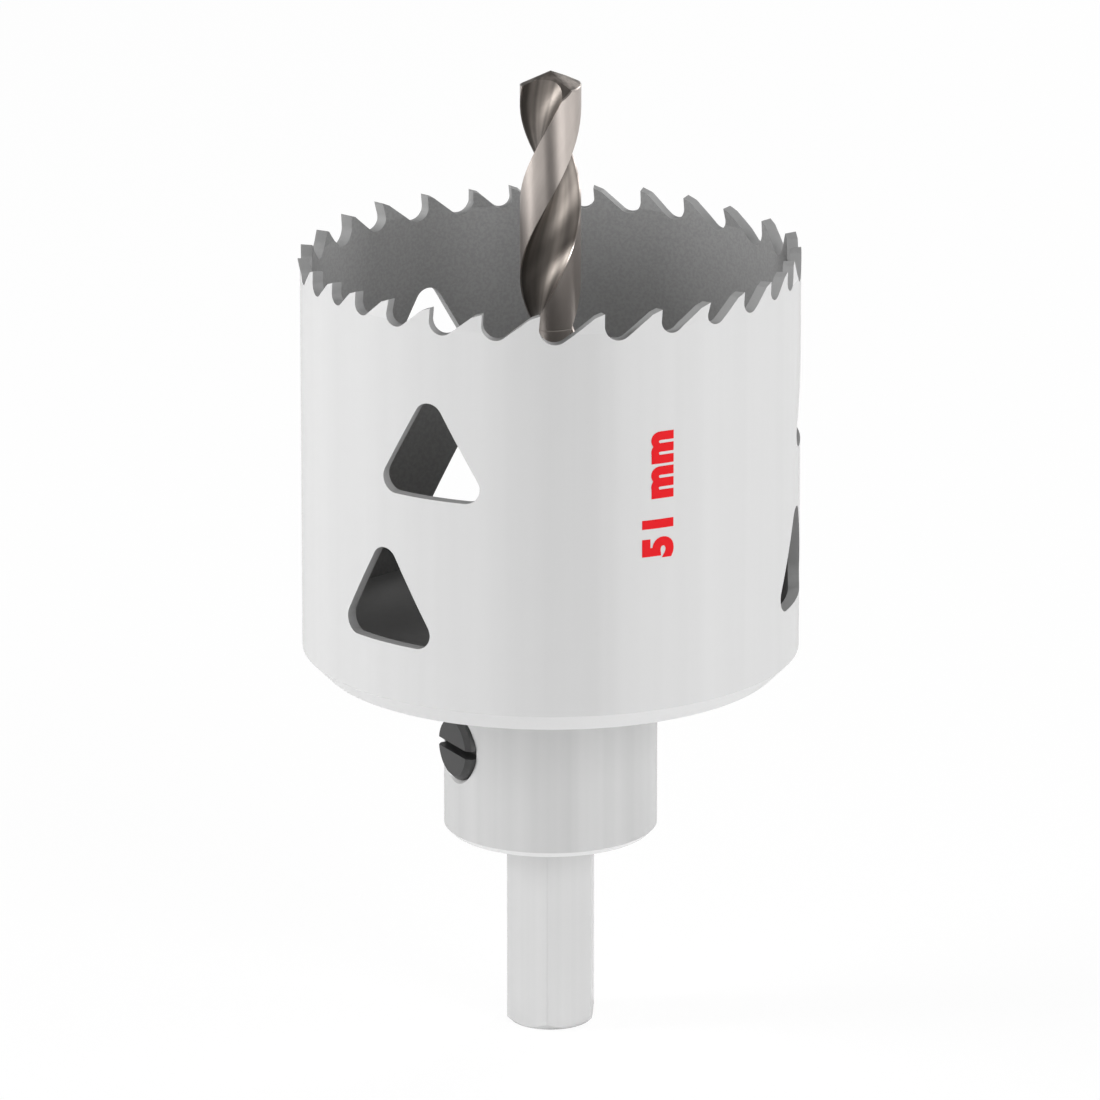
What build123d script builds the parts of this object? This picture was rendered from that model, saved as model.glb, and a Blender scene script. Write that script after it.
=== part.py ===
from build123d import *
from math import acos, atan2, cos, degrees, radians, sin, tan
import os

os.makedirs("parts", exist_ok=True)

# All lengths are in millimetres and all angles in degrees.
# Z runs up the spindle axis from the shank end to the pilot drill's tip.
# A bearing is measured about Z from the front (-Y) and grows to the right (+X).

# Heights along the axis
shank_length = 20.9
collar_length = 17.9
cup_base = shank_length + collar_length
cup_depth = 43.8
tooth_tip_height = cup_base + cup_depth
drill_reach = 62.5
drill_tip_height = cup_base + drill_reach

# Toothed sleeve, rolled from strip and welded to the cap
cup_radius = 25.5
wall = 1.15
cup_inner_radius = cup_radius - wall

# Tooth tips repeat every third of a turn: ten pitches, from fine to coarse and back
pattern_repeats = 3
tip_bearings = [-2.3, 12.6, 26.0, 38.1, 49.8, 60.6, 69.9, 79.9, 91.8, 104.6]
# Set of each tooth in the pattern: +1 bent outward, -1 bent inward, 0 straight
tooth_set = [0, -1, 0, 1, 0, 0, 0, -1, 0, 1]
set_offset = 0.4
set_bend_depth = 1.9
hook_angle = 5.0
land_angle = 20.0
# Gullet depth, gullet radius and land length each follow the pitch: (at fine_pitch, growth per mm)
fine_pitch = 4.14
gullet_depth_rule = (2.10, 0.35)
gullet_radius_rule = (1.00, 0.24)
land_length_rule = (0.95, 0.06)
blank_overrun = 0.3
gullet_overrun = 0.6
gullet_headroom = 1.0

# Chip windows: a pair of rounded triangles, three pairs round the sleeve
window_side = 7.85
window_corner = 1.6
window_pair = [(-28.7, 23.9), (-41.0, 7.95)]
window_repeats = 3
radial_overrun = 2.0

# End cap
cap_flange_thickness = 2.0
cap_bevel = 2.0
cap_thickness = 4.0
cap_thread_radius = 7.94

# Arbor
hex_across_flats = 8.7
hex_turn = -4.0
hex_corner_radius = 0.3
shank_end_radius = 4.2
collar_radius = 11.0
collar_bevel = 0.6
stub_height = 5.2
stub_bevel = 0.6
bore_depth_below_cap = 17.0
fit_clearance = 0.05

# Pilot drill
drill_radius = 3.175
drill_ground_radius = 3.12
drill_land_half_angle = 39.4
drill_web_half_thickness = 1.13
drill_lead_length = 36.4
# How far the land's centre, the shoulder and the flutes' end lie above the cup's base
drill_land_centre_rise = 53.85
drill_shoulder_rise = 36.0
drill_flute_end_rise = 26.0
drill_land_centre_height = cup_base + drill_land_centre_rise
drill_shoulder_height = cup_base + drill_shoulder_rise
drill_flute_end_height = cup_base + drill_flute_end_rise
drill_runout_length = 6.0
drill_runout_tip_radius = 0.6
drill_point_angle = 135.0
drill_lip_relief = 5.0
drill_heel_slope = 48.0
drill_heel_turn = 132.0
drill_heel_start = 0.47
drill_flat_distance = 2.6
drill_flat_length = 9.0

# Grub screw
screw_bearing = -61.8
# How far the screw's axis lies below the cup's base
screw_drop = 7.75
screw_height = cup_base - screw_drop
screw_radius = 3.4
screw_face_radius = 11.47
screw_bevel_length = 0.5
screw_point_radius = 2.4
screw_point_length = 0.7
screw_slot_width = 0.85
screw_slot_depth = 1.6
screw_mouth_bevel = 0.4

FAR = 60.0


def radial_plane(bearing, radius, height):
    """Plane facing outward at a bearing: local X runs with growing bearing, local Y runs up."""
    s, c = sin(radians(bearing)), cos(radians(bearing))
    return Plane(origin=(radius * s, -radius * c, height), x_dir=(c, s, 0), z_dir=(s, -c, 0))


def follow(rule, pitch):
    return rule[0] + rule[1] * (pitch - fine_pitch)


def tooth_positions():
    """List of (tip bearing, pitch to the next tip in mm, set) once round the rim."""
    step = 360 / pattern_repeats
    tips = [b + step * k for k in range(pattern_repeats) for b in tip_bearings]
    sets = tooth_set * pattern_repeats
    gaps = [nxt - tip for tip, nxt in zip(tips, tips[1:] + [tips[0] + 360])]
    return [(tip, radians(gap) * cup_radius, s) for tip, gap, s in zip(tips, gaps, sets)]


def gullet_centre(pitch):
    """Centre and radius of the gullet round, measured from the tip whose rake face starts it."""
    depth, radius = follow(gullet_depth_rule, pitch), follow(gullet_radius_rule, pitch)
    hook = (depth - radius) * tan(radians(hook_angle))
    return radius - hook, radius - depth, radius


def gullet_bearing(tip, pitch):
    return tip + degrees(gullet_centre(pitch)[0] / cup_radius)


def gullet_cutter(tip, pitch):
    """Space between two teeth: hooked rake face, round gullet, straight back and primary land."""
    cx, cy, radius = gullet_centre(pitch)
    land = follow(land_length_rule, pitch)
    land_slope = tan(radians(land_angle))
    knee = (pitch - land, -land * land_slope)
    reach = ((knee[0] - cx) ** 2 + (knee[1] - cy) ** 2) ** 0.5
    touch = atan2(knee[1] - cy, knee[0] - cx) - acos(radius / reach)
    rake_foot = radians(-180)
    middle = (touch + rake_foot) / 2
    past = pitch + gullet_overrun
    outline = Polyline(
        (cx - radius, cy),
        (gullet_headroom * tan(radians(hook_angle)), gullet_headroom),
        (past, gullet_headroom),
        (past, gullet_overrun * land_slope),
        knee,
        (cx + radius * cos(touch), cy + radius * sin(touch)),
    )
    outline += ThreePointArc(
        (cx + radius * cos(touch), cy + radius * sin(touch)),
        (cx + radius * cos(middle), cy + radius * sin(middle)),
        (cx - radius, cy),
    )
    half = pitch / 2
    inside = cup_inner_radius - radial_overrun
    plane = radial_plane(tip + degrees(half / cup_radius), inside, tooth_tip_height)
    return extrude(plane * Pos(-half, 0) * make_face(outline), amount=wall + 2 * radial_overrun)


def tooth_blank(start, end, lean):
    """Uncut sector of the rim above the bend line, leaning outward or inward when set."""
    low, high = tooth_tip_height - set_bend_depth, tooth_tip_height + blank_overrun
    shift = lean * set_offset * (high - low) / set_bend_depth
    section = Plane.XZ * make_face(
        Polyline(
            (cup_inner_radius, low),
            (cup_radius, low),
            (cup_radius + shift, high),
            (cup_inner_radius + shift, high),
            close=True,
        )
    )
    return Rot(0, 0, start - 90) * revolve(section, Axis.Z, revolution_arc=end - start)


def chip_window(bearing, sill):
    """Radial prism of a rounded triangle standing on its sill."""
    centroid = sill + window_corner + window_side / (2 * 3**0.5)
    triangle = RegularPolygon(window_side / 3**0.5, 3, rotation=90)
    rounded = offset(triangle, amount=window_corner, kind=Kind.ARC)
    plane = radial_plane(bearing, cup_inner_radius - radial_overrun, cup_base + centroid)
    return extrude(plane * rounded, amount=wall + 2 * radial_overrun)


def make_sleeve():
    teeth = tooth_positions()
    bottom = cup_base + cap_flange_thickness
    skirt_height = tooth_tip_height - set_bend_depth - bottom
    skirt = Cylinder(cup_radius, skirt_height) - Cylinder(cup_inner_radius, skirt_height)
    skirt = Pos(0, 0, bottom + skirt_height / 2) * skirt
    bounds = [gullet_bearing(tip, pitch) for tip, pitch, _ in teeth]
    starts = [bounds[-1] - 360] + bounds[:-1]
    blanks = [
        tooth_blank(start, end, lean)
        for start, end, (_, _, lean) in zip(starts, bounds, teeth)
    ]
    gullets = [gullet_cutter(tip, pitch) for tip, pitch, _ in teeth]
    turns = [360 / window_repeats * k for k in range(window_repeats)]
    windows = [chip_window(b + turn, sill) for turn in turns for b, sill in window_pair]
    return (skirt + blanks) - (gullets + windows)


def make_cap():
    """Stamped cap: bevelled flange under the sleeve's edge and a spigot inside it."""
    inside = cup_inner_radius - fit_clearance
    profile = Plane.XZ * make_face(
        Polyline(
            (cap_thread_radius, cup_base),
            (cup_radius - cap_bevel, cup_base),
            (cup_radius, cup_base + cap_bevel),
            (inside, cup_base + cap_flange_thickness),
            (inside, cup_base + cap_thickness),
            (cap_thread_radius, cup_base + cap_thickness),
            close=True,
        )
    )
    return revolve(profile, Axis.Z)


def make_arbor():
    """Turned arbor: hexagon shank, collar and the stub that holds the cap."""
    hexagon = RegularPolygon(hex_across_flats / 2, 6, major_radius=False, rotation=30 + hex_turn)
    shank = extrude(fillet(hexagon.vertices(), hex_corner_radius), amount=shank_length)
    turned_end = Cone(
        shank_end_radius,
        shank_end_radius + shank_length,
        shank_length,
        align=(Align.CENTER, Align.CENTER, Align.MIN),
    )
    stub_radius = cap_thread_radius - fit_clearance
    top = cup_base + stub_height
    profile = Plane.XZ * make_face(
        Polyline(
            (0, shank_length),
            (collar_radius - collar_bevel, shank_length),
            (collar_radius, shank_length + collar_bevel),
            (collar_radius, cup_base),
            (stub_radius, cup_base),
            (stub_radius, top - stub_bevel),
            (stub_radius - stub_bevel, top),
            (0, top),
            close=True,
        )
    )
    bore = Cylinder(
        drill_radius + fit_clearance, FAR, align=(Align.CENTER, Align.CENTER, Align.MIN)
    )
    screw_axis = radial_plane(screw_bearing, 0, screw_height)
    hole_radius = screw_radius + fit_clearance
    cross_hole = extrude(screw_axis * Circle(hole_radius), amount=FAR)
    mouth_plane = radial_plane(screw_bearing, collar_radius - screw_mouth_bevel, screw_height)
    mouth = mouth_plane.location * Cone(
        hole_radius,
        hole_radius + 2 * screw_mouth_bevel,
        2 * screw_mouth_bevel,
        align=(Align.CENTER, Align.CENTER, Align.MIN),
    )
    body = (shank & turned_end) + revolve(profile, Axis.Z)
    body -= Pos(0, 0, cup_base - bore_depth_below_cap) * bore
    return body - [cross_hole, mouth]


def flute_sections():
    """Two round flutes that leave the web between them."""
    reach = drill_radius * sin(radians(drill_land_half_angle)) - drill_web_half_thickness
    centre = (drill_radius**2 - drill_web_half_thickness**2) / (2 * reach)
    flute = Circle(centre - drill_web_half_thickness)
    return [Pos(centre, 0) * flute, Pos(-centre, 0) * flute]


def twisted(section, low, high):
    """Section swept up the drill's helix."""
    turn = 360 / drill_lead_length
    start = Rot(0, 0, turn * (low - drill_land_centre_height)) * section
    swept = Solid.extrude_linear_with_rotation(
        start.face(), (0, 0, 0), (0, 0, high - low), turn * (high - low)
    )
    return Pos(0, 0, low) * swept


def flank_cutter(lip_bearing):
    """What is ground off behind a lip: all above a cone tipped back about it and a steep facet."""
    outward = (sin(radians(lip_bearing)), -cos(radians(lip_bearing)), 0)
    lip = Plane(origin=(0, 0, drill_tip_height), x_dir=outward, z_dir=(0, 0, 1)).location
    cone_height = 2 * drill_radius
    cone_radius = cone_height * tan(radians(drill_point_angle / 2))
    cone = Cone(cone_radius, 0, cone_height, align=(Align.CENTER, Align.CENTER, Align.MAX))
    heel = Rot(0, 0, -drill_heel_turn) * Pos(drill_heel_start, 0) * Rot(0, drill_heel_slope, 0)
    facet = heel * Box(FAR, FAR, FAR, align=(Align.CENTER, Align.CENTER, Align.MIN))
    behind = Pos(0, 0, -1.5 * drill_radius) * Box(
        FAR, FAR, FAR, align=(Align.CENTER, Align.MAX, Align.MIN)
    )
    return lip * (behind - (Rot(drill_lip_relief, 0, 0) * cone - facet))


def make_drill():
    """Twist drill: body ground down above a shoulder, flutes that run out, and a plain shank."""
    bottom = cup_base - bore_depth_below_cap
    profile = Plane.XZ * make_face(
        Polyline(
            (0, bottom),
            (drill_radius, bottom),
            (drill_radius, drill_shoulder_height + drill_ground_radius - drill_radius),
            (drill_ground_radius, drill_shoulder_height),
            (drill_ground_radius, drill_tip_height),
            (0, drill_tip_height),
            close=True,
        )
    )
    runout = Pos(0, 0, drill_flute_end_height) * Cone(
        drill_radius,
        drill_runout_tip_radius,
        drill_runout_length,
        align=(Align.CENTER, Align.CENTER, Align.MIN),
    )
    flutes = [
        twisted(section, drill_flute_end_height, drill_tip_height) - runout
        for section in flute_sections()
    ]
    flat = radial_plane(screw_bearing, drill_flat_distance, screw_height)
    flat_cut = extrude(flat * Rectangle(FAR, drill_flat_length), amount=FAR)
    above_land = drill_tip_height - drill_land_centre_height
    lip = 360 * above_land / drill_lead_length + drill_land_half_angle
    flanks = [flank_cutter(lip), flank_cutter(lip + 180)]
    return revolve(profile, Axis.Z) - [*flutes, *flanks, flat_cut]


def make_screw():
    """Slotted grub screw pressed against the drill's flat."""
    axis = radial_plane(screw_bearing, drill_flat_distance, screw_height)
    length = screw_face_radius - drill_flat_distance
    slot_plane = radial_plane(screw_bearing, screw_face_radius, screw_height)
    profile = Plane.XZ * make_face(
        Polyline(
            (0, 0),
            (screw_point_radius, 0),
            (screw_radius, screw_point_length),
            (screw_radius, length - screw_bevel_length),
            (screw_radius - screw_bevel_length, length),
            (0, length),
            close=True,
        )
    )
    slot = Box(FAR, screw_slot_width, 2 * screw_slot_depth)
    return axis.location * revolve(profile, Axis.Z) - slot_plane.location * slot


pieces = {
    "toothed_sleeve": make_sleeve(),
    "end_cap": make_cap(),
    "arbor": make_arbor(),
    "pilot_drill": make_drill(),
    "grub_screw": make_screw(),
}

for name, piece in pieces.items():
    export_step(piece, f"parts/{name}.step")
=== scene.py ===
import math

import bmesh
import bpy
from bpy.props import FloatProperty, FloatVectorProperty, PointerProperty, StringProperty
from bpy.types import Operator, Panel, PropertyGroup
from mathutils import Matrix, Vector


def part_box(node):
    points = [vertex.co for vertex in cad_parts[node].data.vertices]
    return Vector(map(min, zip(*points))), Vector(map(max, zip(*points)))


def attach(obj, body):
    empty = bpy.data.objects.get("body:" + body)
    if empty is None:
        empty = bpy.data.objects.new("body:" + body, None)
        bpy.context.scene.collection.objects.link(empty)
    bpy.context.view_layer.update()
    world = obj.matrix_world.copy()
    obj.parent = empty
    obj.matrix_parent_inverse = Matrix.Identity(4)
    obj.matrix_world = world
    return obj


bl_info = {
    "name": "Hole saw",
    "version": (1, 0, 0),
    "blender": (4, 5, 0),
    "location": "View3D > Sidebar > Hole saw",
    "description": "Finishes, size mark and stage for a hole saw on its arbor",
    "category": "Object",
}

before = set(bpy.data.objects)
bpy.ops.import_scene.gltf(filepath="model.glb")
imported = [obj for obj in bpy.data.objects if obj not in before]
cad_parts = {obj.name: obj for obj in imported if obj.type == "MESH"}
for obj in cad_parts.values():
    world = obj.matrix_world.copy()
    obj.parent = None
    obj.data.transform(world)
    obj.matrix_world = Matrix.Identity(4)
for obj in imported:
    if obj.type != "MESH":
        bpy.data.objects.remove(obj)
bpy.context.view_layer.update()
MM = 0.001
BODY = "root"
CAP_LOW, CAP_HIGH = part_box("end_cap")
CUP_RADIUS = CAP_HIGH.x
BLACK = (0, 0, 0)


class HoleSawSizes(PropertyGroup):
    """Sizes of what is drawn on the frame's pieces."""

    drill_lead: FloatProperty(
        name="Drill lead",
        description="Height in which the drill's flutes make one turn",
        default=36.4 * MM,
        unit="LENGTH",
    )
    flute_floor: FloatProperty(
        name="Flute floor",
        description="Radius inside which the drill's surface is taken as flute",
        default=2.9 * MM,
        unit="LENGTH",
    )
    thread_pitch: FloatProperty(
        name="Thread pitch",
        description="Pitch of the thread on the arbor's stub",
        default=1.41 * MM,
        unit="LENGTH",
    )
    mark_height: FloatProperty(
        name="Mark height",
        description="Height of the digits of the size mark",
        default=3.5 * MM,
        unit="LENGTH",
    )
    mark_step: FloatProperty(
        name="Mark step",
        description="Width of the strips into which the mark is cut, so that it follows the cup",
        default=0.4 * MM,
        unit="LENGTH",
    )


class HoleSawFinish(PropertyGroup):
    """Colours of the finishes, as linear values."""

    cup_paint: FloatVectorProperty(
        name="Cup paint",
        description="Pale grey paint on the outside of the cup",
        default=(0.72, 0.72, 0.72),
        subtype="COLOR",
        min=0,
        max=1,
    )
    # Painted light: the cap's paint is made paler than the cup's, standing in for light bounced up
    # from the floor
    cap_paint_bounce_lit: FloatVectorProperty(
        name="Cap paint",
        description="Paler paint of the end cap",
        default=(0.84, 0.84, 0.84),
        subtype="COLOR",
        min=0,
        max=1,
    )
    cup_inside: FloatVectorProperty(
        name="Cup inside",
        description="Dull grey inside of the cup",
        default=(0.335, 0.335, 0.335),
        subtype="COLOR",
        min=0,
        max=1,
    )
    cut_steel: FloatVectorProperty(
        name="Cut steel",
        description="Ground and punched edges of the cup",
        default=(0.36, 0.36, 0.36),
        subtype="COLOR",
        min=0,
        max=1,
    )
    arbor_paint: FloatVectorProperty(
        name="Arbor",
        description="Pale grey finish of the arbor",
        default=(0.715, 0.715, 0.715),
        subtype="COLOR",
        min=0,
        max=1,
    )
    # Painted reflection: a near-white colour that stands in for the white floor mirrored in the
    # collar's lower bevel and underside
    painted_floor_reflection: FloatVectorProperty(
        name="Turned edge",
        description="Bright bevel and underside of the arbor's collar",
        default=(0.95, 0.95, 0.95),
        subtype="COLOR",
        min=0,
        max=1,
    )
    drill_land: FloatVectorProperty(
        name="Drill lands",
        description="Ground lands of the pilot drill",
        default=(0.62, 0.56, 0.52),
        subtype="COLOR",
        min=0,
        max=1,
    )
    drill_flute: FloatVectorProperty(
        name="Drill flutes",
        description="Darker flutes of the pilot drill",
        default=(0.23, 0.205, 0.185),
        subtype="COLOR",
        min=0,
        max=1,
    )
    screw_black: FloatVectorProperty(
        name="Grub screw",
        description="Black oxide finish of the grub screw",
        default=(0.05, 0.05, 0.05),
        subtype="COLOR",
        min=0,
        max=1,
    )
    mark_red: FloatVectorProperty(
        name="Size mark",
        description="Red ink of the size mark",
        default=(0.79, 0.004, 0.010),
        subtype="COLOR",
        min=0,
        max=1,
    )


class NodeChain:
    """Short way to add and join shader nodes in one tree."""

    def __init__(self, tree):
        self.tree = tree

    def add(self, kind, settings=None, **inputs):
        node = self.tree.nodes.new(kind)
        for key, value in (settings or {}).items():
            setattr(node, key, value)
        for key, value in inputs.items():
            self.feed(node, key.replace("_", " "), value)
        return node

    def feed(self, node, key, value):
        socket = node.inputs[key]
        if isinstance(value, bpy.types.NodeSocket):
            self.tree.links.new(value, socket)
        else:
            socket.default_value = value

    def math(self, operation, a, b=0.0, clamp=False):
        node = self.tree.nodes.new("ShaderNodeMath")
        node.operation = operation
        node.use_clamp = clamp
        self.feed(node, 0, a)
        self.feed(node, 1, b)
        return node.outputs[0]

    def line(self, value, slope, start):
        """The value times slope, plus start."""
        return self.math("ADD", self.math("MULTIPLY", value, slope), start)

    def vector_math(self, operation, a, b=(0, 0, 0)):
        node = self.tree.nodes.new("ShaderNodeVectorMath")
        node.operation = operation
        self.feed(node, 0, a)
        self.feed(node, 1, b)
        return node.outputs["Value" if operation in ("DOT_PRODUCT", "LENGTH") else "Vector"]

    def ramp(self, value, low, high):
        """Smooth step from 0 at low to 1 at high."""
        node = self.tree.nodes.new("ShaderNodeMapRange")
        node.interpolation_type = "SMOOTHSTEP"
        self.tree.links.new(value, node.inputs["Value"])
        node.inputs["From Min"].default_value = low
        node.inputs["From Max"].default_value = high
        return node.outputs["Result"]

    def mix(self, factor, a, b):
        """Colour a where the factor is 0, and b where it is 1."""
        node = self.tree.nodes.new("ShaderNodeMix")
        node.data_type = "RGBA"
        self.feed(node, 0, factor)
        for index, value in ((6, a), (7, b)):
            if isinstance(value, bpy.types.NodeSocket):
                self.tree.links.new(value, node.inputs[index])
            else:
                node.inputs[index].default_value = (*value, 1)
        return node.outputs[2]

    def noise(self, vector, scale, detail=2.0, roughness=0.5):
        node = self.add("ShaderNodeTexNoise", Vector=vector, Scale=scale, Detail=detail)
        node.inputs["Roughness"].default_value = roughness
        return node.outputs["Fac"]


def new_material(name):
    """Material with its Principled shader and a chain of helper calls."""
    material = bpy.data.materials.new(name)
    material.use_nodes = True
    shader = material.node_tree.nodes["Principled BSDF"]
    return material, shader, NodeChain(material.node_tree)


def shaded(colour, share):
    """The colour made darker, or lighter where the share is above 1."""
    return tuple(channel * share for channel in colour)


def bump(chain, shader, height, distance):
    """Relief on the whole surface: the height signal times the distance."""
    node = chain.add("ShaderNodeBump", Height=height, Strength=1.0, Distance=distance)
    chain.feed(shader, "Normal", node.outputs["Normal"])


def across_axis(chain, point):
    """The point without its height, so as seen along the spindle axis."""
    return chain.vector_math("MULTIPLY", point, (1, 1, 0))


def radius_of(chain, point):
    """The point's distance from the spindle axis."""
    return chain.vector_math("LENGTH", across_axis(chain, point))


def outward_at(chain, point):
    """Unit vector from the spindle axis towards the point."""
    return chain.vector_math("NORMALIZE", across_axis(chain, point))


def round_face_masks(chain):
    """Object coordinates, the normal, and how far a face looks away from the spindle axis."""
    coords = chain.add("ShaderNodeTexCoord")
    point, normal = coords.outputs["Object"], coords.outputs["Normal"]
    facing = chain.vector_math("DOT_PRODUCT", outward_at(chain, point), normal)
    return point, normal, facing


def streaks(chain, point, across, along, detail=3.0):
    """Noise drawn out along the spindle axis, as rolled or ground steel shows."""
    mapping = chain.add("ShaderNodeMapping", Vector=point)
    mapping.inputs["Scale"].default_value = (across, across, along)
    return chain.noise(mapping.outputs["Vector"], 1.0, detail, 0.55)


def painted_reflection_bands(chain, point):
    """Painted reflection: soft upright dark bands, about a dozen and a half round the axis, that stand
    in for the studio's reflections in the satin finish.
    """
    return chain.noise(outward_at(chain, point), 4.5, 2.0, 0.55)


# How far a face looks away from the axis, or towards it, where bare steel gives way to the skin
SKIN_FACING = (0.80, 0.90)
# How far a painted face leans, where the gloss of the wall gives way to the dullness of bent teeth
BENT_LEAN = (0.06, 0.16)


def sleeve_material(finish):
    """Painted outside with painted reflection bands, dull inside, bare steel on every ground or
    punched edge, dull bent teeth.
    """
    material, shader, chain = new_material("cup_paint")
    point, normal, facing = round_face_masks(chain)
    outside = chain.ramp(facing, *SKIN_FACING)
    inside = chain.ramp(chain.math("MULTIPLY", facing, -1.0), *SKIN_FACING)
    grain = streaks(chain, point, 900, 25)
    shade = chain.mix(grain, finish.cup_paint, shaded(finish.cup_paint, 0.97))
    # Painted reflection: dark upright bands in the paint stand in for the studio's reflections
    reflection_band_share = chain.math("MULTIPLY", painted_reflection_bands(chain, point), 0.12)
    paint = chain.mix(reflection_band_share, shade, BLACK)
    grind = chain.noise(point, 4200, 3.0, 0.6)
    steel = chain.mix(grind, shaded(finish.cut_steel, 0.88), finish.cut_steel)
    speckle = chain.ramp(chain.noise(point, 3200, 2.0, 0.6), 0.35, 0.65)
    dull = chain.mix(speckle, finish.cup_inside, shaded(finish.cup_inside, 0.86))
    colour = chain.mix(inside, chain.mix(outside, steel, paint), dull)
    chain.feed(shader, "Base Color", colour)
    tilt = chain.add("ShaderNodeSeparateXYZ", Vector=normal).outputs["Z"]
    bent = chain.ramp(chain.math("ABSOLUTE", tilt), *BENT_LEAN)
    gloss = chain.math("MULTIPLY", outside, chain.math("SUBTRACT", 1.0, bent))
    rough = chain.line(gloss, -0.35, 0.57)
    chain.feed(shader, "Roughness", chain.line(grain, 0.05, rough))
    bump(chain, shader, chain.line(grind, 0.3, grain), 0.004 * MM)
    return material


# Heights above the cap's lower edge between which its painted side gives way to the dull inside
CAP_INSIDE = (2.6 * MM, 2.8 * MM)
RING_FREQUENCY = 9000.0


def cap_material(finish):
    """The cap's paint, made paler as painted bounce light, with the inside face dull as the cup's
    inside is.
    """
    material, shader, chain = new_material("cap_paint_bounce_lit")
    coords = chain.add("ShaderNodeTexCoord")
    point = coords.outputs["Object"]
    height = chain.add("ShaderNodeSeparateXYZ", Vector=point).outputs["Z"]
    inside = chain.ramp(height, *(CAP_LOW.z + rise for rise in CAP_INSIDE))
    radius = radius_of(chain, point)
    rings = chain.math("SINE", chain.math("MULTIPLY", radius, RING_FREQUENCY))
    fine = chain.noise(point, 1500, 3.0, 0.6)
    # Painted light: the paler paint stands in for light bounced up from the floor onto the cap
    paint = chain.mix(fine, finish.cap_paint_bounce_lit, shaded(finish.cap_paint_bounce_lit, 0.97))
    dull = chain.mix(fine, finish.cup_inside, shaded(finish.cup_inside, 0.85))
    chain.feed(shader, "Base Color", chain.mix(inside, paint, dull))
    chain.feed(shader, "Roughness", chain.line(fine, 0.1, 0.36))
    bump(chain, shader, chain.line(rings, 0.12, fine), 0.004 * MM)
    return material


# Radii between which the painted reflection bands of shank and stub grow to those of the collar
COLLAR_RADII = (9 * MM, 10 * MM)
# Heights between which a face that looks down is no longer the shank's but the collar's, and so takes
# the painted floor reflection
COLLAR_FOOT = (20 * MM, 20.5 * MM)
# Height above the cap's lower edge in which the thread's relief sets in
THREAD_START = 0.2 * MM
# Relief that the thread would gain in a whole pitch: it turns back at half of that
THREAD_SLOPE = 0.5 * MM


def arbor_material(sizes, finish):
    """Smooth painted collar and shank with faint lines and painted reflection bands, a painted floor
    reflection on the collar's bevel and underside, and the stub's fine thread as relief.
    """
    material, shader, chain = new_material("arbor_paint")
    coords = chain.add("ShaderNodeTexCoord")
    point = coords.outputs["Object"]
    parts = chain.add("ShaderNodeSeparateXYZ", Vector=point)
    height = parts.outputs["Z"]
    lines = streaks(chain, point, 700, 40)
    fine = chain.noise(point, 2400, 3.0, 0.6)
    shade = chain.mix(lines, finish.arbor_paint, shaded(finish.arbor_paint, 0.96))
    radius = radius_of(chain, point)
    # Painted reflection: dark upright bands, deeper on the collar, stand in for the studio's
    # reflections
    reflection_band_depth = chain.line(chain.ramp(radius, *COLLAR_RADII), 0.12, 0.1)
    reflection_band_share = chain.math("MULTIPLY", painted_reflection_bands(chain, point), reflection_band_depth)
    paint = chain.mix(reflection_band_share, shade, BLACK)
    tilt = chain.add("ShaderNodeSeparateXYZ", Vector=coords.outputs["Normal"]).outputs["Z"]
    # Painted reflection: faces of the collar that look down are painted near white, as the floor
    # mirrored in them
    looks_down = chain.ramp(tilt, -0.3, -0.6)
    floor_reflection_share = chain.math("MULTIPLY", looks_down, chain.ramp(height, *COLLAR_FOOT))
    chain.feed(shader, "Base Color", chain.mix(floor_reflection_share, paint, finish.painted_floor_reflection))
    chain.feed(shader, "Roughness", chain.line(fine, 0.06, 0.2))
    shader.inputs["Metallic"].default_value = 0.3
    bearing = chain.math("ARCTAN2", parts.outputs["Y"], parts.outputs["X"])
    climbed = chain.math("DIVIDE", height, sizes.thread_pitch)
    turns = chain.math("SUBTRACT", climbed, chain.math("DIVIDE", bearing, 2 * math.pi))
    ridge = chain.math("PINGPONG", turns, 0.5)
    on_stub = chain.ramp(height, CAP_LOW.z, CAP_LOW.z + THREAD_START)
    thread = chain.math("MULTIPLY", chain.math("MULTIPLY", ridge, on_stub), THREAD_SLOPE)
    grain = chain.math("MULTIPLY", chain.math("ADD", lines, fine), 0.0015 * MM)
    bump(chain, shader, chain.math("ADD", thread, grain), 1.0)
    return material


def untwisted(chain, point, lead):
    """The point turned back by the flute's helix, so that a pattern on it runs along the flutes."""
    height = chain.add("ShaderNodeSeparateXYZ", Vector=point).outputs["Z"]
    turn = chain.math("MULTIPLY", height, -2 * math.pi / lead)
    rotate = chain.add("ShaderNodeVectorRotate", {"rotation_type": "Z_AXIS"}, Vector=point, Angle=turn)
    return rotate.outputs["Vector"]


def drill_material(sizes, finish):
    """Ground lands and a darker flute, both with lines that run along the helix."""
    material, shader, chain = new_material("drill_steel")
    coords = chain.add("ShaderNodeTexCoord")
    point = coords.outputs["Object"]
    turned = untwisted(chain, point, sizes.drill_lead)
    radius = radius_of(chain, point)
    land = chain.ramp(radius, sizes.flute_floor, sizes.flute_floor + 0.15 * MM)
    lines = streaks(chain, turned, 1500, 45, 4.0)
    wide_lines = streaks(chain, turned, 650, 20, 2.0)
    dark_line = shaded(finish.drill_flute, 0.7)
    light_line = shaded(finish.drill_flute, 1.5)
    flute = chain.mix(chain.ramp(wide_lines, 0.38, 0.66), dark_line, light_line)
    ground = chain.mix(lines, finish.drill_land, shaded(finish.drill_land, 0.85))
    chain.feed(shader, "Base Color", chain.mix(land, flute, ground))
    shader.inputs["Metallic"].default_value = 1.0
    rough = chain.line(land, -0.16, 0.4)
    chain.feed(shader, "Roughness", chain.line(lines, 0.12, rough))
    bump(chain, shader, lines, 0.003 * MM)
    return material


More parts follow.
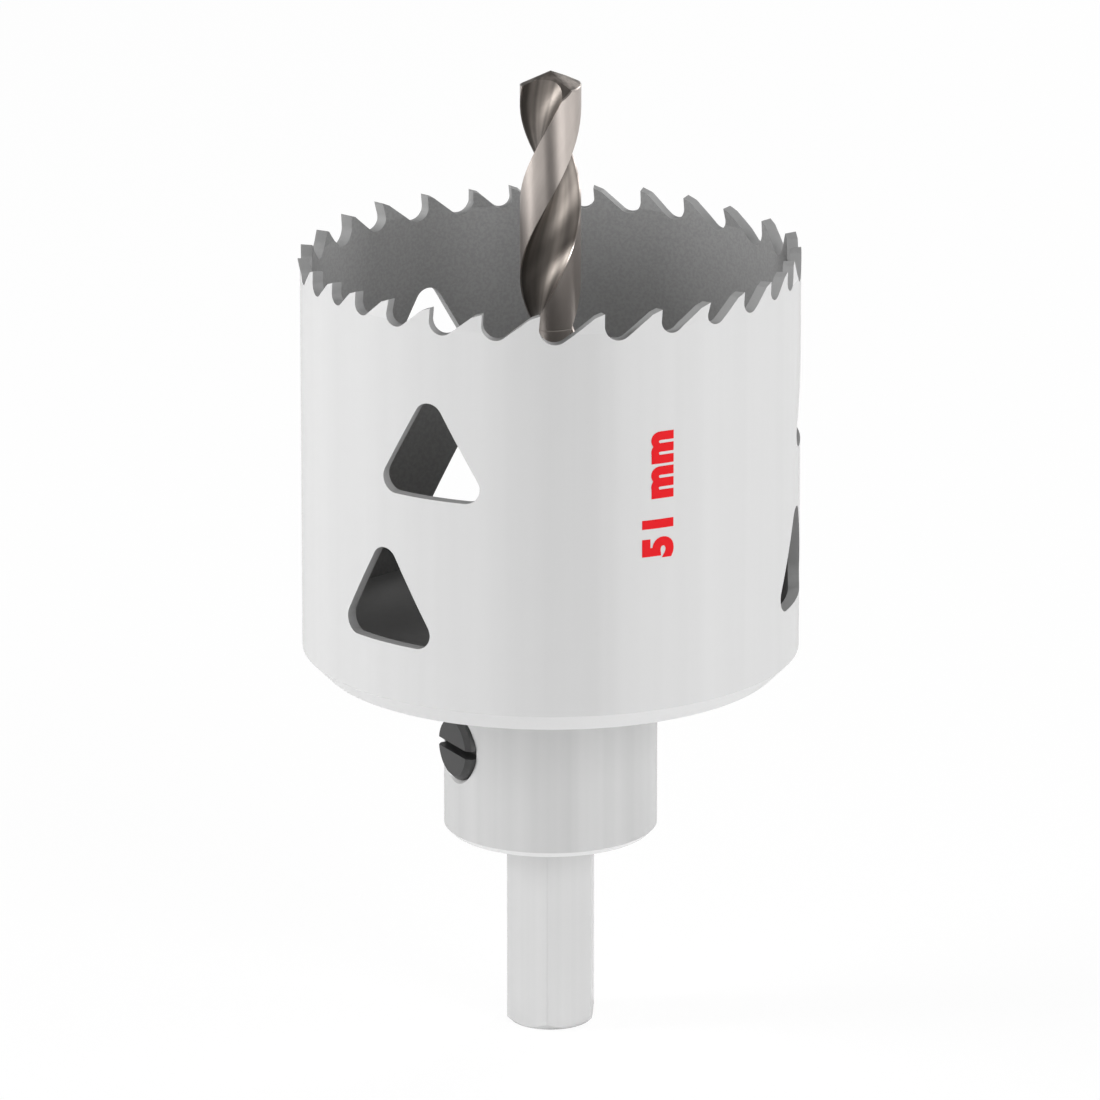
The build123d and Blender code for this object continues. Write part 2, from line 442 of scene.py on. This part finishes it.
def screw_material(finish):
    """Black oxide: dark, slightly mottled and half dull."""
    material, shader, chain = new_material("screw_black")
    coords = chain.add("ShaderNodeTexCoord")
    mottle = chain.noise(coords.outputs["Object"], 1400, 3.0, 0.6)
    lighter = shaded(finish.screw_black, 1.5)
    chain.feed(shader, "Base Color", chain.mix(mottle, finish.screw_black, lighter))
    shader.inputs["Metallic"].default_value = 0.5
    chain.feed(shader, "Roughness", chain.line(mottle, 0.15, 0.38))
    bump(chain, shader, mottle, 0.006 * MM)
    return material


def ink_material(finish):
    """Slightly uneven satin ink."""
    material, shader, chain = new_material("mark_ink")
    coords = chain.add("ShaderNodeTexCoord")
    fine = chain.noise(coords.outputs["Object"], 2200, 3.0, 0.6)
    ink = chain.mix(fine, finish.mark_red, shaded(finish.mark_red, 0.9))
    chain.feed(shader, "Base Color", ink)
    chain.feed(shader, "Roughness", chain.line(fine, 0.1, 0.4))
    shader.inputs["Specular IOR Level"].default_value = 0.2
    return material


def dress(node_name, material):
    """Gives a node of the frame its finish."""
    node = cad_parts[node_name]
    node.data.materials.clear()
    node.data.materials.append(material)


class FinishStep(Operator):
    """Common parts of every step of the hole saw."""

    bl_options = {"REGISTER", "UNDO"}

    @staticmethod
    def settings(context):
        return context.scene.hole_saw_sizes, context.scene.hole_saw_finish


class HOLESAW_OT_cup(FinishStep):
    """Finish the toothed sleeve and its end cap"""

    bl_idname = "holesaw.cup"
    bl_label = "Cup and cap"

    def execute(self, context):
        _, finish = self.settings(context)
        dress("toothed_sleeve", sleeve_material(finish))
        dress("end_cap", cap_material(finish))
        return {"FINISHED"}


class HOLESAW_OT_arbor(FinishStep):
    """Finish the arbor"""

    bl_idname = "holesaw.arbor"
    bl_label = "Arbor"

    def execute(self, context):
        sizes, finish = self.settings(context)
        dress("arbor", arbor_material(sizes, finish))
        return {"FINISHED"}


class HOLESAW_OT_drill(FinishStep):
    """Finish the pilot drill"""

    bl_idname = "holesaw.drill"
    bl_label = "Pilot drill"

    def execute(self, context):
        sizes, finish = self.settings(context)
        dress("pilot_drill", drill_material(sizes, finish))
        return {"FINISHED"}


class HOLESAW_OT_screw(FinishStep):
    """Finish the grub screw"""

    bl_idname = "holesaw.screw"
    bl_label = "Grub screw"

    def execute(self, context):
        _, finish = self.settings(context)
        dress("grub_screw", screw_material(finish))
        return {"FINISHED"}


# How much bolder than the plain font the mark is, and half its thickness, at a font size of 1
MARK_BOLD = 0.06
MARK_HALF_THICKNESS = 0.003
MARK_LETTER_SPACE = 1.14
MARK_WORD_SPACE = 0.8
MARK_CURVE_STEPS = 6
# Height of the ink's middle above the painted wall
INK_RISE = 0.02 * MM


def mark_mesh(text, height, step):
    """Bold letters in the XY plane, centred on the origin and cut into strips along X."""
    curve = bpy.data.curves.new("mark_text", "FONT")
    curve.body = text
    curve.offset = MARK_BOLD
    curve.space_character = MARK_LETTER_SPACE
    curve.space_word = MARK_WORD_SPACE
    curve.extrude = MARK_HALF_THICKNESS
    curve.resolution_u = MARK_CURVE_STEPS
    carrier = bpy.data.objects.new("mark_text", curve)
    bpy.context.scene.collection.objects.link(carrier)
    graph = bpy.context.evaluated_depsgraph_get()
    mesh = bpy.data.meshes.new_from_object(carrier.evaluated_get(graph))
    bpy.data.objects.remove(carrier)
    bpy.data.curves.remove(curve)
    low = [min(v.co[axis] for v in mesh.vertices) for axis in range(2)]
    high = [max(v.co[axis] for v in mesh.vertices) for axis in range(2)]
    middle = Vector(((low[0] + high[0]) / 2, (low[1] + high[1]) / 2, 0))
    scale = height / (high[1] - low[1])
    for vertex in mesh.vertices:
        vertex.co = (vertex.co - middle) * scale
    cut = bmesh.new()
    cut.from_mesh(mesh)
    strips = math.ceil(height / step)
    for index in range(1, strips):
        level = (index / strips - 0.5) * height
        parts = [*cut.verts, *cut.edges, *cut.faces]
        bmesh.ops.bisect_plane(cut, geom=parts, plane_co=(0, level, 0), plane_no=(0, 1, 0))
    cut.to_mesh(mesh)
    cut.free()
    return mesh


class HOLESAW_OT_size_mark(FinishStep):
    """Print the cup's size on its wall, reading upward"""

    bl_idname = "holesaw.size_mark"
    bl_label = "Size mark"

    text: StringProperty(name="Text", description="Size that is printed", default="51 mm")
    bearing: FloatProperty(
        name="Bearing",
        description="Where the mark stands round the cup, from the front to the right",
        default=math.radians(25.0),
        subtype="ANGLE",
    )
    height: FloatProperty(
        name="Height",
        description="Height of the mark's middle above the cup's lower edge",
        default=24.6 * MM,
        unit="LENGTH",
    )

    def execute(self, context):
        sizes, finish = self.settings(context)
        mesh = mark_mesh(self.text, sizes.mark_height, sizes.mark_step)
        surface = CUP_RADIUS + INK_RISE
        base = CAP_LOW.z + self.height
        for vertex in mesh.vertices:
            along, up, depth = vertex.co
            angle = self.bearing - up / CUP_RADIUS
            reach = surface + depth
            vertex.co = (reach * math.sin(angle), -reach * math.cos(angle), base + along)
        mesh.update()
        mark = bpy.data.objects.new("size_mark", mesh)
        context.scene.collection.objects.link(mark)
        mesh.materials.clear()
        mesh.materials.append(ink_material(finish))
        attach(mark, BODY)
        return {"FINISHED"}


class HOLESAW_OT_stage(FinishStep):
    """Add the pale floor, the soft lamps and the camera"""

    bl_idname = "holesaw.stage"
    bl_label = "Stage"

    def execute(self, context):
        make_floor(context)
        make_world(context)
        make_lamps(context)
        make_camera(context)
        context.scene.view_settings.view_transform = "Standard"
        return {"FINISHED"}


def seen_as_white(chain):
    """1 for camera and transmission rays."""
    path = chain.add("ShaderNodeLightPath")
    seen = path.outputs["Is Camera Ray"]
    return chain.math("ADD", seen, path.outputs["Is Transmission Ray"], True)


FLOOR_SIZE = 6.0
# The floor lies this far below the shank's end face, so that the two faces don't coincide
FLOOR_GAP = 0.05 * MM
FLOOR_WHITE = 0.9
# A patch of the floor before the lens is dark as a card there is: middle, half sizes and albedo
CARD_MIDDLE = -0.50
CARD_HALF_WIDTH = 0.17
CARD_HALF_DEPTH = 0.28
CARD_DARK = 0.10
# Share of the floor's own white that the camera sees, and its strength: the rest takes the shadow
FLOOR_GLOW = 0.88
GLOW_STRENGTH = 1.03
SKY_LIGHT = 0.27


def make_floor(context):
    """Pale paper with a dark patch that shows in reflections, and that cameras see almost white."""
    mesh = bpy.data.meshes.new("floor")
    half = FLOOR_SIZE / 2
    corners = [(-half, -half), (half, -half), (half, half), (-half, half)]
    mesh.from_pydata([(*corner, -FLOOR_GAP) for corner in corners], [], [(0, 1, 2, 3)])
    floor = bpy.data.objects.new("floor", mesh)
    context.scene.collection.objects.link(floor)
    material, shader, chain = new_material("floor_paper")
    coords = chain.add("ShaderNodeTexCoord")
    from_card = chain.vector_math("SUBTRACT", coords.outputs["Object"], (0, CARD_MIDDLE, 0))
    card_size = (CARD_HALF_WIDTH, CARD_HALF_DEPTH, 1)
    reach = chain.vector_math("LENGTH", chain.vector_math("DIVIDE", from_card, card_size))
    card = chain.ramp(reach, 1.1, 0.8)
    chain.feed(shader, "Base Color", chain.mix(card, (FLOOR_WHITE,) * 3, (CARD_DARK,) * 3))
    shader.inputs["Roughness"].default_value = 0.9
    shader.inputs["Specular IOR Level"].default_value = 0.0
    glow = chain.add("ShaderNodeEmission")
    glow.inputs["Color"].default_value = (1, 1, 1, 1)
    glow.inputs["Strength"].default_value = GLOW_STRENGTH
    share = chain.math("MULTIPLY", seen_as_white(chain), FLOOR_GLOW)
    blend = chain.add("ShaderNodeMixShader")
    chain.feed(blend, 0, share)
    chain.feed(blend, 1, shader.outputs["BSDF"])
    chain.feed(blend, 2, glow.outputs["Emission"])
    output = material.node_tree.nodes["Material Output"]
    chain.feed(output, "Surface", blend.outputs["Shader"])
    mesh.materials.append(material)


def make_world(context):
    """Dim even sky, which the camera sees white."""
    world = bpy.data.worlds.new("studio")
    context.scene.world = world
    world.use_nodes = True
    chain = NodeChain(world.node_tree)
    background = world.node_tree.nodes["Background"]
    background.inputs["Color"].default_value = (1, 1, 1, 1)
    whiten = chain.math("MULTIPLY", seen_as_white(chain), 1.0 - SKY_LIGHT)
    chain.feed(background, "Strength", chain.math("ADD", whiten, SKY_LIGHT))


LAMP_DISTANCE = 0.9
LAMP_HEIGHT = 0.35
LAMP_TALL = 0.7
LAMP_TARGET = Vector((0, 0, 0.06))
# Bearing round the object from the front to the right, power in watts, and width
LAMPS = {
    "left_softbox": (-84, 6.7, 0.24),
    "left_fill": (-25, 0.5, 0.24),
    "right_fill": (40, 4.4, 0.5),
    "right_softbox": (85, 2.0, 0.24),
    "rear_softbox": (150, 2.6, 0.24),
}


def make_lamps(context):
    """Tall softboxes that look at the middle of the cup."""
    for name, (bearing, power, width) in LAMPS.items():
        light = bpy.data.lights.new(name, "AREA")
        light.shape = "RECTANGLE"
        light.size = width
        light.size_y = LAMP_TALL
        light.energy = power
        lamp = bpy.data.objects.new(name, light)
        turn = math.radians(bearing)
        along, aside = math.cos(turn), math.sin(turn)
        place = Vector((LAMP_DISTANCE * aside, -LAMP_DISTANCE * along, LAMP_HEIGHT))
        lamp.location = place
        lamp.rotation_mode = "QUATERNION"
        lamp.rotation_quaternion = (LAMP_TARGET - place).to_track_quat("-Z", "Y")
        context.scene.collection.objects.link(lamp)


# Lens and sensor width in millimetres, as Blender's cameras take them, and pitch in degrees
CAMERA_LENS = 356.6
CAMERA_SENSOR = 36.0
CAMERA_PLACE = (-0.00006, -1.06846, 0.37573)
CAMERA_PITCH = 16.925
CAMERA_NEAR = 0.05
CAMERA_FAR = 20.0


def make_camera(context):
    """The camera that was fitted to the photograph."""
    camera = bpy.data.cameras.new("camera")
    camera.lens = CAMERA_LENS
    camera.sensor_width = CAMERA_SENSOR
    camera.clip_start = CAMERA_NEAR
    camera.clip_end = CAMERA_FAR
    view = bpy.data.objects.new("camera", camera)
    view.location = CAMERA_PLACE
    view.rotation_euler = (math.radians(90 - CAMERA_PITCH), 0, 0)
    context.scene.collection.objects.link(view)
    context.scene.camera = view


STEPS = (
    HOLESAW_OT_cup,
    HOLESAW_OT_arbor,
    HOLESAW_OT_drill,
    HOLESAW_OT_screw,
    HOLESAW_OT_size_mark,
    HOLESAW_OT_stage,
)


class HOLESAW_PT_steps(Panel):
    """Lists the steps and the values they use."""

    bl_label = "Hole saw"
    bl_idname = "HOLESAW_PT_steps"
    bl_space_type = "VIEW_3D"
    bl_region_type = "UI"
    bl_category = "Hole saw"

    def draw(self, context):
        layout = self.layout
        for group in (context.scene.hole_saw_sizes, context.scene.hole_saw_finish):
            box = layout.box()
            for name in group.__annotations__:
                box.prop(group, name)
        for step in STEPS:
            layout.operator(step.bl_idname)


CLASSES = (HoleSawSizes, HoleSawFinish, *STEPS, HOLESAW_PT_steps)


def register():
    for item in CLASSES:
        bpy.utils.register_class(item)
    bpy.types.Scene.hole_saw_sizes = PointerProperty(type=HoleSawSizes)
    bpy.types.Scene.hole_saw_finish = PointerProperty(type=HoleSawFinish)


def unregister():
    del bpy.types.Scene.hole_saw_finish
    del bpy.types.Scene.hole_saw_sizes
    for item in reversed(CLASSES):
        bpy.utils.unregister_class(item)


def main():
    register()
    bpy.ops.holesaw.cup()
    bpy.ops.holesaw.arbor()
    bpy.ops.holesaw.drill()
    bpy.ops.holesaw.screw()
    bpy.ops.holesaw.size_mark()
    bpy.ops.holesaw.stage()


if __name__ == "__main__":
    main()
